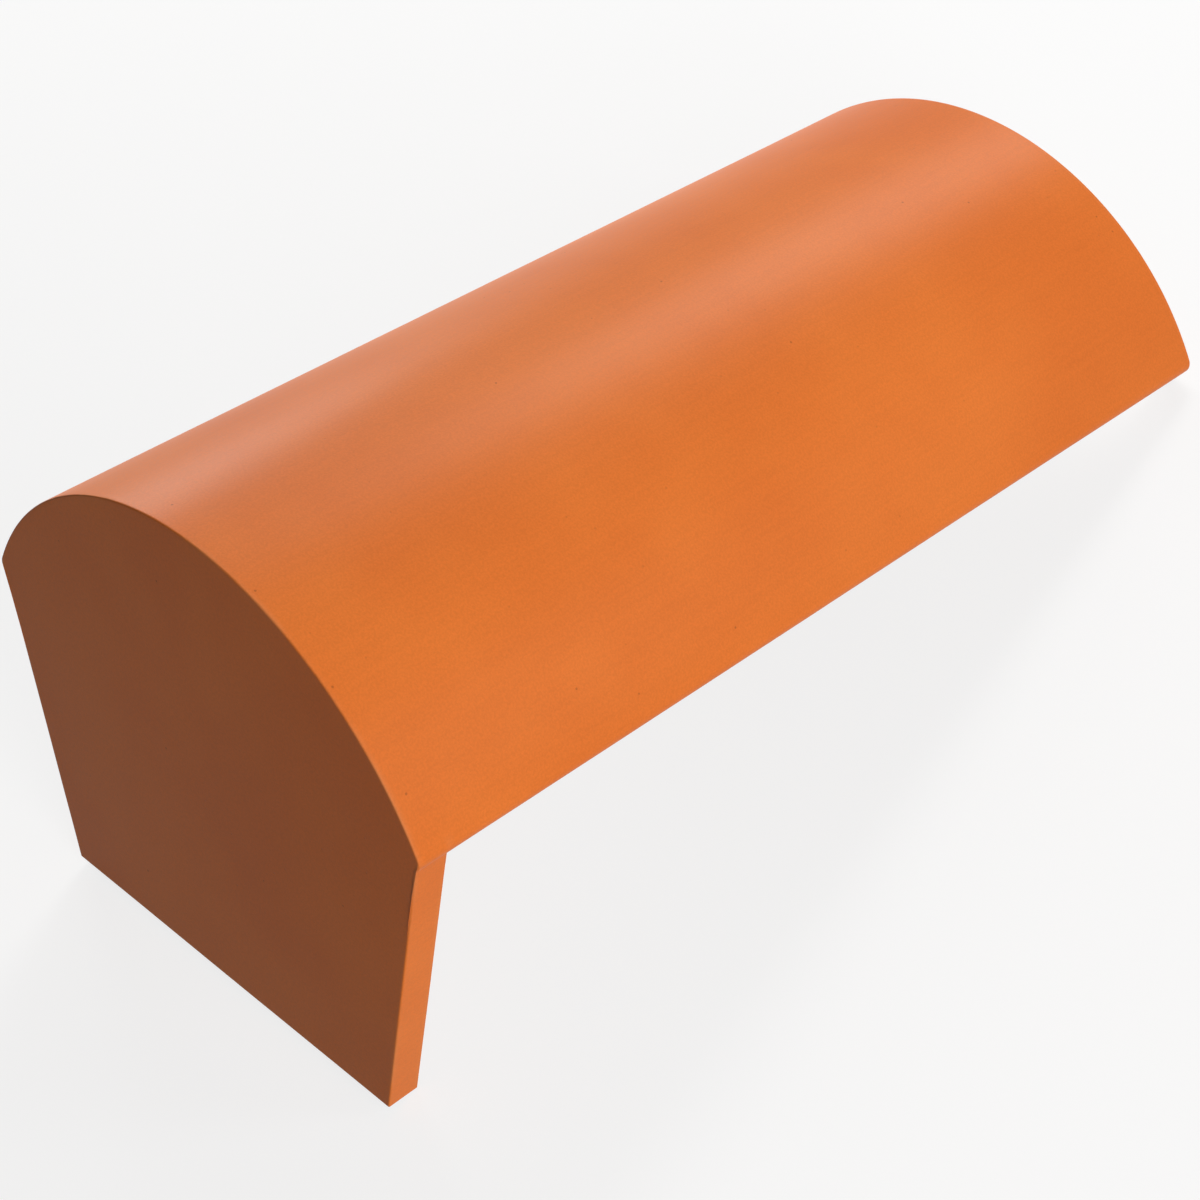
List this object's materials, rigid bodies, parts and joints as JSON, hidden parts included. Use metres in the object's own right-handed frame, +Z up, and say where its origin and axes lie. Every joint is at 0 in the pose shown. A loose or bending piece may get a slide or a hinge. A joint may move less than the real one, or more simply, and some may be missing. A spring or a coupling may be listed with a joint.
{
  "type": "segmental ridge tile",
  "caption": "Segmental-arch ridge tile in fired clay, with one end closed by a flat block end that hangs below the arch to cover the gable.",
  "frame": {"origin": "On the floor, at the bottom centre of the bounding box of the tile as it rests unheld: on the inner edge of the block end's foot and on the two inner corners of the open end.", "axes": "+Z up from the floor. +Y runs level under the ridge, from the block end towards the open end, and the tile slopes down that way by 16.75 degrees. +X across the tile, level."},
  "size_m": [0.25, 0.5006, 0.2146],
  "materials": {
    "fired_clay": "matte"
  },
  "bodies": {
    "root": {"ridge_tile": "fired_clay"}
  },
  "joints": []
}
